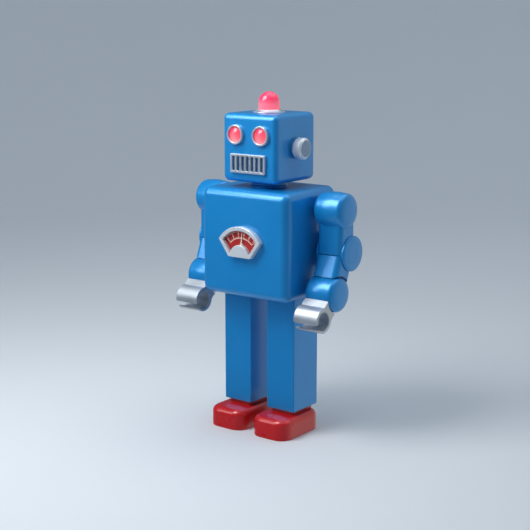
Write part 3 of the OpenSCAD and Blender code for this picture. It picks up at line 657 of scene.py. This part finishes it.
def make_gauge():
    low, high = box("gauge_bezel")
    below, rim, hub = 0.6, 2.7, 7.8
    radius, depth = high.z - low.z - below, high.y - low.y
    place = Matrix.Translation((0, high.y, low.z + below)) @ FACING_FRONT
    foot_half, foot_lean, foot_r, shoulder_r = 8.95, 0.728, 0.9, 0.35
    outer = fan(radius, foot_half, -below, foot_lean)
    radii = [foot_r, foot_r, shoulder_r, *([0] * (len(outer) - 4)), shoulder_r]
    outer = round_corners(outer, radii, closed=True, steps=3)
    window_half, window_low, window_lean = 7.8, 1.9, 0.709
    dip = math.degrees(math.asin(window_low / hub))
    window = [*fan(radius - rim, window_half, window_low, window_lean)[1:],
              Vector((-window_half, window_low)), *arc((0, 0), hub, 180 - dip, dip, 32)]
    piece("gauge_frame", [plate([outer, window[::-1]], 0.0, depth, 0.45, place)], BEZEL, "torso",
          ["gauge_bezel"])
    dial_top = 1.6
    dial = plate([moved_left(window, 0.06)], 0.0, dial_top, 0.05, place, 1)
    piece("gauge_face", [dial], DIAL, "torso", ["gauge_dial"])
    make_dial_marks(place, dial_top, radius - rim, hub)


def make_dial_marks(place, surface, radius, hub):
    """Cream scale printed on the dial: an arc, ticks and plain numbers, and the needle over it."""
    rise, line, scale_r, sweep, marks = 0.07, 0.42, hub + 4.3, 46, 20

    def printed(outline, where):
        return plate([outline], surface, surface + rise, 0.01, where, 1)

    def band(outer, inner, reach):
        return [*arc((0, 0), outer, 90 - reach, 90 + reach, 40),
                *arc((0, 0), inner, 90 + reach, 90 - reach, 40)]

    ink = [printed(band(scale_r + line / 2, scale_r - line / 2, sweep), place),
           printed(band(radius - 0.7, radius - 0.9, sweep + 3), place)]
    for i in range(marks + 1):
        angle = math.radians(sweep - 2 * sweep * i / marks)
        numbered = i % 4 == 0
        length, width = (1.6, line) if numbered else (0.9, 0.26)
        outward = Matrix.Translation((0, scale_r + length / 2, 0))
        turned = place @ Matrix.Rotation(angle, 4, "Z") @ outward
        ink.append(printed(rectangle(width, length, 0.05, 1), turned))
        if numbered:
            ink.append(numeral(str(i // 2), angle, scale_r + 2.0, surface, rise, place))
    piece("gauge_scale", ink, CREAM, "torso")
    root, tip, reading = hub - 0.4, radius - 1.4, math.radians(-4)
    needle = [Vector(p) for p in ((-0.55, root), (0.55, root), (0.16, tip), (-0.16, tip))]
    turned = place @ Matrix.Rotation(reading, 4, "Z")
    shape = plate([needle], surface + 0.35, surface + 0.85, 0.1, turned, 2)
    pad = rectangle(2.4, 1.0, 0.3, 2, (0, hub + 0.35))
    pad = plate([pad], surface, surface + 0.5, 0.1, turned, 2)
    piece("gauge_pointer", [shape, pad], CREAM, "torso", ["gauge_needle"])


def numeral(text, angle, radius, surface, rise, place):
    """One number of the scale as a thin closed part, upright along its radius."""
    height = 2.9
    curve = bpy.data.curves.new("numeral", "FONT")
    curve.body, curve.size, curve.align_x = text, height, "CENTER"
    curve.extrude, curve.resolution_u = rise / 2, 3
    typed = bpy.data.objects.new("numeral", curve)
    bpy.context.scene.collection.objects.link(typed)
    shaped = typed.evaluated_get(bpy.context.evaluated_depsgraph_get())
    mesh = bpy.data.meshes.new_from_object(shaped)
    outward = Matrix.Translation((0, radius, surface + rise / 2))
    matrix = place @ Matrix.Rotation(angle, 4, "Z") @ outward
    part = [matrix @ v.co for v in mesh.vertices], [list(f.vertices) for f in mesh.polygons]
    bpy.data.curves.remove(curve)
    bpy.data.meshes.remove(mesh)
    return part


def make_back_fittings():
    """Slotted screws, the washer round the arbor, and the winding key."""
    low, high = box("cover_screws")
    radius, back = 2.4, box("rear_cover")[1].y
    places = [(x, z) for x in (low.x + radius, high.x - radius)
              for z in (low.z + radius, high.z - radius)]
    heads = []
    for i, (x, z) in enumerate(places):
        slot_turn = Matrix.Rotation(math.radians(20 + 47 * i), 4, "Z")
        facing_back = Matrix.Rotation(-math.pi / 2, 4, "X")
        place = Matrix.Translation((x, back, z)) @ facing_back @ slot_turn
        heads.append(plate([arc((0, 0), radius, 0, 352.5, 47)], 0.0, 0.75, 0.12, place, 2))
        for half in (0, 180):
            segment = arc((0, 0), radius - 0.06, half + 9, half + 171, 30)
            heads.append(plate([segment], 0.7, 1.3, 0.3, place, 3))
    piece("back_screws", heads, KEY_STEEL, "torso", ["cover_screws"])
    arbor = pivot("key_turn")
    centre = Vector((arbor.x, back, arbor.z))
    hole, outer, sunk, proud = 2.75, 7.2, -0.2, 1.3
    washer = round_corners([(hole, sunk), (outer, sunk), (outer, 0.5), (5.2, proud), (hole, proud)],
                           [0.05, 0.05, 0.3, 0.4, 0.2], closed=True, steps=4)
    piece("arbor_washer", [lathe(washer, centre, Y, ring=True)], BRASS, "torso")
    make_key(arbor)


def make_key(arbor):
    low, high = box("winding_key")
    hub_r, hub_l, bow_t, bow_r, hole_r, lobe = 3.2, 12.0, 1.8, 7.5, 4.0, 8.5
    centre = Vector((arbor.x, low.y, arbor.z))
    profile = round_corners(
        [(0, 0), (hub_r, 0), (hub_r, 2.2), (hub_r - 0.35, 2.6), (hub_r - 0.35, hub_l - 1.6),
         (hub_r - 1.5, hub_l), (0, hub_l)], [0, 0.35, 0.2, 0.15, 0.8, 0.4, 0], steps=3)
    bow_x, bridge, root = high.y - low.y - hub_l - bow_r, 3.0, -3.0
    meet = math.degrees(math.acos((lobe - bridge) / bow_r))
    outline = [Vector((root, -bridge)), *arc((bow_x, -lobe), bow_r, 90 + meet, 450 - meet, 60),
               *arc((bow_x, lobe), bow_r, -90 + meet, 270 - meet, 60), Vector((root, bridge))]
    holes = [arc((bow_x, s * (lobe + 0.5)), hole_r, 360, 7.5, 47) for s in (-1, 1)]
    place = Matrix.Translation((arbor.x - bow_t / 2, low.y + hub_l, arbor.z)) @ EDGEWAYS
    bow = plate([outline, *holes], 0.0, bow_t, 0.55, place)
    piece("key", [lathe(profile, centre, Y), bow], KEY_STEEL, "winding",
          ["winding_key"], centre)


# ---------------------------------------------------------------- legs

def make_leg(side_name, s):
    low, high = box("left_leg")
    leg = rounded_box(low, high, 0.8, 4)
    piece(f"{side_name}_leg_box", [mirrored(leg, s)], BLUE_TIN, f"{side_name}_leg",
          [f"{side_name}_leg"])
    make_foot(side_name, s, low, high)


def foot_shell(low, high, top):
    """Hollow foot, open below: up the inside, round the rim, up the outside and over the top."""
    edge, corner, wall = 4.6, 9.0, 2.0
    width, length, centre = high.x - low.x, high.y - low.y, (low + high) / 2

    def ring(inset, z, r):
        outline = rectangle(width - 2 * inset, length - 2 * inset, max(r, 0.8), 12,
                            (centre.x, centre.y))
        return level(outline, z)

    rings = [ring(wall, top - 2.6, corner - wall), ring(wall, 0.5, corner - wall),
             ring(wall - 0.3, 0.0, corner - wall + 0.3), ring(0.45, 0.0, corner - 0.45),
             ring(0.1, 0.15, corner - 0.1), ring(0.0, 0.6, corner), ring(0.0, top - edge, corner)]
    for i in range(1, 9):
        a = math.radians(90 * i / 8)
        inset = edge * (1 - math.cos(a))
        rings.append(ring(inset, top - edge + (edge - 0.35) * math.sin(a), corner - inset))
    for f in (0.35, 0.65, 0.9):
        inset = edge + (width / 2 - edge) * f * 0.98
        rings.append(ring(inset, top - 0.35 * (1 - f) ** 2, corner - inset))
    return loft(rings)


def roller_lugs(x, axle, top):
    """Two upright lugs inside the foot, with the holes for the roller's pin."""
    apart, thick, half, hole_r = 16, 1.6, 4, 1.1
    outline = round_corners([(-half, 1.5), (half, 1.5), (half, top - 2.7), (-half, top - 2.7)],
                            [2, 2, 0, 0], closed=True)
    hole = arc((0, axle.z), hole_r, 360, 15, 23)
    lugs = []
    for offset in (-apart / 2, apart / 2):
        place = Matrix.Translation((x + offset - thick / 2, axle.y, 0)) @ EDGEWAYS
        lugs.append(plate([outline, hole], 0.0, thick, 0.15, place, 2))
    return lugs


def make_foot(side_name, s, leg_low, leg_high):
    low, high = box("left_foot")
    ankle, block_inset = 2.0, 2.5
    top, middle = high.z - ankle, (leg_low + leg_high) / 2
    block = rectangle(leg_high.x - leg_low.x - 2 * block_inset,
                      leg_high.y - leg_low.y - 2 * block_inset, 1.4, 5, (middle.x, middle.y))
    axle = pivot("left_toe_spin")
    shapes = [foot_shell(low, high, top), loft([level(block, top - 1.0), level(block, high.z)]),
              *roller_lugs((low.x + high.x) / 2, axle, top)]
    piece(f"{side_name}_foot_shell", [mirrored(shape, s) for shape in shapes], RED_TIN,
          f"{side_name}_leg", [f"{side_name}_foot"])
    make_roller(side_name, s, axle)


def make_roller(side_name, s, axle):
    low, high = box("left_toe_roller")
    radius, teeth, tooth, width, pin_r = (high.z - low.z) / 2, 36, 0.3, 13, 1.0
    outline = []
    for i in range(2 * teeth):
        a = math.pi * i / teeth
        r = radius - (tooth if i % 2 else 0.0)
        outline.append(Vector((r * math.cos(a), r * math.sin(a))))
    middle = (low.x + high.x) / 2
    place = Matrix.Translation((middle - width / 2, axle.y, axle.z)) @ EDGEWAYS
    wheel = plate([outline], 0.0, width, 0.3, place, 2)
    pin = rod(Vector((middle, axle.y, axle.z)), pin_r, high.x - low.x, edge=0.25, steps=24)
    parts = [mirrored(part, s) for part in (wheel, pin)]
    piece(f"{side_name}_roller", parts, STEEL, f"{side_name}_roller",
          [f"{side_name}_toe_roller"], Vector((s * middle, axle.y, axle.z)))


# ---------------------------------------------------------------- arms

class Arm:
    """Sizes of one arm on the robot's left, shared by the pieces of both."""

    shoulder = pivot("left_arm_swing")
    elbow = pivot("left_elbow")
    wrist = pivot("left_wrist")
    low, high = box("left_upper_arm")
    x = (low.x + high.x) / 2
    drum_r, drum_l = high.z - shoulder.z, high.x - low.x
    caps = box("left_elbow_caps")
    width, depth, corner = 19.3, 17.6, 4.0
    column_y = shoulder.y + 0.8
    cheek_r, cheek_t, knuckle_r = 11.6, 2.2, 11.3
    lean = math.radians(21.2)
    swing = math.radians(20)

    @classmethod
    def at(cls, joint):
        return Vector((cls.x, joint.y, joint.z))


def along_forearm(outline, start, end):
    """Outline drawn out along the forearm's leaning axis, between distances from the wrist."""
    turn = Matrix.Rotation(-Arm.lean, 4, "X")
    place = Matrix.Translation(Arm.at(Arm.wrist)) @ turn
    return loft([[place @ p for p in level(outline, z)] for z in (start, end)])


def upper_arm():
    """Shoulder drum, column and the two round cheeks that hold the elbow."""
    elbow, shoulder = Arm.at(Arm.elbow), Arm.at(Arm.shoulder)
    outline = rectangle(Arm.width, Arm.depth, Arm.corner, 8, (Arm.x, Arm.column_y))
    column = loft([level(outline, z) for z in (elbow.z + 0.3, shoulder.z)])
    offset = (Arm.width - Arm.cheek_t) / 2 * X
    cheeks = [rod(elbow + s * offset, Arm.cheek_r, Arm.cheek_t) for s in (-1, 1)]
    shape = boolean("UNION", drum(shoulder, Arm.drum_r, Arm.drum_l), column, *cheeks)
    return boolean("DIFFERENCE", shape,
                   rod(elbow, Arm.knuckle_r + 0.5, Arm.width - 2 * Arm.cheek_t))


def forearm():
    """Block between elbow and wrist, with a knuckle for the one and a tongue for the other."""
    elbow, wrist = Arm.at(Arm.elbow), Arm.at(Arm.wrist)
    depth, gap, inner = 16.8, 0.4, Arm.width - 2 * Arm.cheek_t
    block = along_forearm(rectangle(Arm.width, depth, Arm.corner, 8), 6, 32)
    above_elbow = rounded_box(Vector((0, -50, elbow.z - 0.3)), Vector((100, 60, elbow.z + 30)),
                              1, 1)
    block = boolean("DIFFERENCE", block, above_elbow, rod(elbow, Arm.cheek_r + gap, 40),
                    rod(wrist, Arm.drum_r + gap, 40))
    knuckle = rod(elbow, Arm.knuckle_r, inner - gap)
    core = along_forearm(rectangle(inner - 2, 12, 3), 13, 22)
    tongue = along_forearm(rectangle(6, 8, 0.4, 2), 0, 14)
    eye = rod(wrist, 4.3, 6, edge=0.3, steps=48)
    return boolean("UNION", block, knuckle, core, tongue, eye)


def wrist_drum():
    """The wrist's drum with the slot that the forearm's tongue swings in."""
    wrist = Arm.at(Arm.wrist)
    width, gap, below, reach, eye_r = 6.6, 4.4, -2, Arm.drum_r + 4, 4.9
    back, forth = (Matrix.Rotation(a, 2) for a in (Arm.swing, -Arm.swing))
    corners = [back @ Vector((-gap, below)), forth @ Vector((gap, below)),
               forth @ Vector((gap, reach)), back @ Vector((-gap, reach))]
    along = Matrix.Rotation(-Arm.lean, 4, "X")
    place = Matrix.Translation(wrist - width / 2 * X) @ along @ EDGEWAYS
    slot = loft([[place @ p for p in level(corners, z)] for z in (0, width)])
    return boolean("DIFFERENCE", drum(wrist, Arm.drum_r, Arm.drum_l), slot,
                   rod(wrist, eye_r, width))


def elbow_caps():
    """Domed caps with a turned rim, one on each end of the elbow's pin."""
    low, high = Arm.caps
    radius, proud = (high.z - low.z) / 2, (high.x - low.x - Arm.width) / 2
    profile = round_corners(
        [(0, -0.1), (radius, -0.1), (radius, 0.9), (radius - 1.5, proud - 0.1),
         (radius * 0.5, proud + 0.35), (0, proud + 0.45)], [0, 0.1, 0.5, 1.4, 3.0, 0], steps=6)
    elbow = Arm.at(Arm.elbow)
    return [lathe(profile, elbow + s * Arm.width / 2 * X, s * X) for s in (-1, 1)]


def claw():
    """C-shaped gripper: a thick ring open below its front, with a neck to the drum."""
    low, high = box("left_claw")
    hole_r, ring_r, width, ring_centre = 6.15, 8.4, high.x - low.x, Vector((0.7, 0.6))
    centre = Vector((low.x, low.y + ring_r - ring_centre.x, low.z + ring_r - ring_centre.y))
    place = Matrix.Translation(centre) @ EDGEWAYS
    # The opening is where its middle lies, in degrees from the back; jaw is half its height.
    jaw, opening = 2.4, -151
    wrist = Vector((Arm.wrist.y - centre.y, Arm.wrist.z - centre.z))
    lean = math.degrees(math.atan2(wrist.y, wrist.x))
    inner_gap = math.degrees(math.asin(jaw / hole_r))
    outer_gap = math.degrees(math.asin(jaw / ring_r))
    neck_half = 6.2
    neck_gap = math.degrees(math.asin(neck_half / ring_r))
    toward = wrist.normalized()
    across = Vector((-toward.y, toward.x))
    reach = wrist.length - math.sqrt(Arm.drum_r ** 2 - neck_half ** 2) + 0.1
    neck = [toward * reach - across * neck_half, toward * reach + across * neck_half]
    drum_back = arc(wrist, Arm.drum_r, lean + 204, lean + 156, 6)
    outline = arc(ring_centre, ring_r, opening + outer_gap, lean - neck_gap, 48)
    outline += [neck[0], *drum_back, neck[1]]
    outline += arc(ring_centre, ring_r, lean + neck_gap, 360 + opening - outer_gap, 48)
    outline += arc((0, 0), hole_r, 360 + opening - inner_gap, opening + inner_gap, 72)
    return plate([outline], 0.0, width, 0.45, place)


def make_arms():
    parts = {
        "upper_arm": ([upper_arm()], BLUE_TIN, "arm", "blue_tin", "upper_arm"),
        "elbow_discs": (elbow_caps(), BLUE_TIN, "arm", "blue_tin", "elbow_caps"),
        "forearm_block": ([forearm()], BLUE_MOULDING, "forearm", "blue_moulding", "forearm"),
        "wrist": ([wrist_drum()], BLUE_TIN, "hand", "blue_tin", "wrist_drum"),
        "gripper": ([claw()], SILVER, "hand", "silver_claw", "claw"),
    }
    for side_name, s in SIDES:
        for name, (shapes, finish, body, slot, node) in parts.items():
            piece(f"{side_name}_{name}", [mirrored(shape, s) for shape in shapes], finish,
                  f"{side_name}_{body}", [f"{side_name}_{node}"], crease=23)


# ---------------------------------------------------------------- CAD nodes that stay

BRASS_NODES = {"motor_pillars", "great_wheel", "crown_wheel", "governor_wheel", "governor_fly",
               "ratchet_wheel", "shoulder_bushes"}


def finish_cad_nodes():
    """Clockwork, pins and levers keep their CAD shape and get a metal finish."""
    for name, node in frame["nodes"].items():
        if node.hide_render:
            continue
        finish = BRASS if name in BRASS_NODES else BLUE_TIN if name == "head_base" else STEEL
        node.data.materials.clear()
        node.data.materials.append(finish)


# ---------------------------------------------------------------- studio

# What the camera looks at and the lights stand round, in metres: near the robot's middle.
CENTRE = Vector((-0.0020, HEAD_AXIS.y * MM - 0.0020, 0.1128))


def make_floor():
    """Pale floor that curves up far away, all round, so that no horizon shows."""
    f = Finish("floor", IOR=1.3)
    pale = (0.66, 0.70, 0.74)
    f.link("Base Color", f.mix(f.noise(2, 4), shade(pale, 0.98), shade(pale, 1.02)))
    f.link("Roughness", f.remap(f.noise(12, 3), 0.6, 0.7))
    flat, sweep, rise, steps = 0.9, 1.2, 80, 24
    outline = [(0, 0), (flat, 0)]
    for i in range(1, steps + 1):
        a = math.radians(rise * i / steps)
        outline.append((flat + sweep * math.sin(a), sweep * (1 - math.cos(a))))
    bm = to_bmesh(lathe(outline, Vector(), Z))
    for face in bm.faces:
        face.smooth = True
    mesh = bpy.data.meshes.new("floor")
    bm.to_mesh(mesh)
    bm.free()
    mesh.materials.append(f.material)
    floor = bpy.data.objects.new("floor", mesh)
    floor.visible_glossy = False
    bpy.context.scene.collection.objects.link(floor)


def make_light(name, direction, distance, size, power, colour):
    data = bpy.data.lights.new(name, "AREA")
    data.shape, data.size, data.energy, data.color = "DISK", size, power, colour
    light = bpy.data.objects.new(name, data)
    direction = Vector(direction).normalized()
    light.location = CENTRE + direction * distance
    light.rotation_euler = direction.to_track_quat("Z", "Y").to_euler()
    light.visible_camera = False
    bpy.context.scene.collection.objects.link(light)


def make_surroundings():
    """Studio round the robot: dark, but pale below it and beyond both of its shoulders."""
    dark, pale = (0.08, 0.125, 0.185, 1.0), (0.72, 0.73, 0.71, 1.0)
    world = bpy.data.worlds.new("studio")
    world.use_nodes = True
    nodes, links = world.node_tree.nodes, world.node_tree.links
    direction = nodes.new("ShaderNodeTexCoord").outputs["Generated"]
    paleness = None
    for toward, start, end in (((0.6, 0.79, -0.1), 0.2, 1.0), ((-0.5, 0.6, -0.62), 0.72, 0.95),
                               ((0, 0, -1), 0.45, 0.85)):
        along = nodes.new("ShaderNodeVectorMath")
        along.operation = "DOT_PRODUCT"
        along.inputs[1].default_value = toward
        links.new(direction, along.inputs[0])
        share = nodes.new("ShaderNodeMapRange")
        share.inputs[1].default_value, share.inputs[2].default_value = start, end
        links.new(along.outputs["Value"], share.inputs[0])
        if paleness is None:
            paleness = share.outputs[0]
            continue
        most = nodes.new("ShaderNodeMath")
        most.operation = "MAXIMUM"
        links.new(paleness, most.inputs[0])
        links.new(share.outputs[0], most.inputs[1])
        paleness = most.outputs[0]
    tones = nodes.new("ShaderNodeMix")
    tones.data_type = "RGBA"
    tones.inputs[6].default_value, tones.inputs[7].default_value = dark, pale
    links.new(paleness, tones.inputs[0])
    links.new(tones.outputs[2], nodes["Background"].inputs["Color"])
    nodes["Background"].inputs["Strength"].default_value = 0.9
    bpy.context.scene.world = world


def make_studio():
    make_floor()
    make_light("key", (-0.28, -0.55, 0.78), 0.42, 0.26, 1.5, (1.0, 0.99, 0.97))
    make_light("top", (0.1, 0.2, 1.0), 2.0, 2.6, 22, (0.95, 0.98, 1.0))
    make_light("front", (-0.60, -0.72, 0.42), 0.75, 0.26, 0.8, (0.98, 0.99, 1.0))
    make_surroundings()
    bpy.context.scene.view_settings.view_transform = "Standard"


def make_camera():
    data = bpy.data.cameras.new("camera")
    data.lens, data.sensor_width, data.clip_start = 82.65, 36.0, 0.01
    camera = bpy.data.objects.new("camera", data)
    camera.location = CENTRE + Vector((0.4900, -0.6460, 0.1659))
    camera.rotation_euler = (camera.location - CENTRE).to_track_quat("Z", "Y").to_euler()
    bpy.context.scene.collection.objects.link(camera)
    bpy.context.scene.camera = camera


make_head()
make_torso()
for side, sign in SIDES:
    make_leg(side, sign)
make_arms()
finish_cad_nodes()
make_studio()
make_camera()
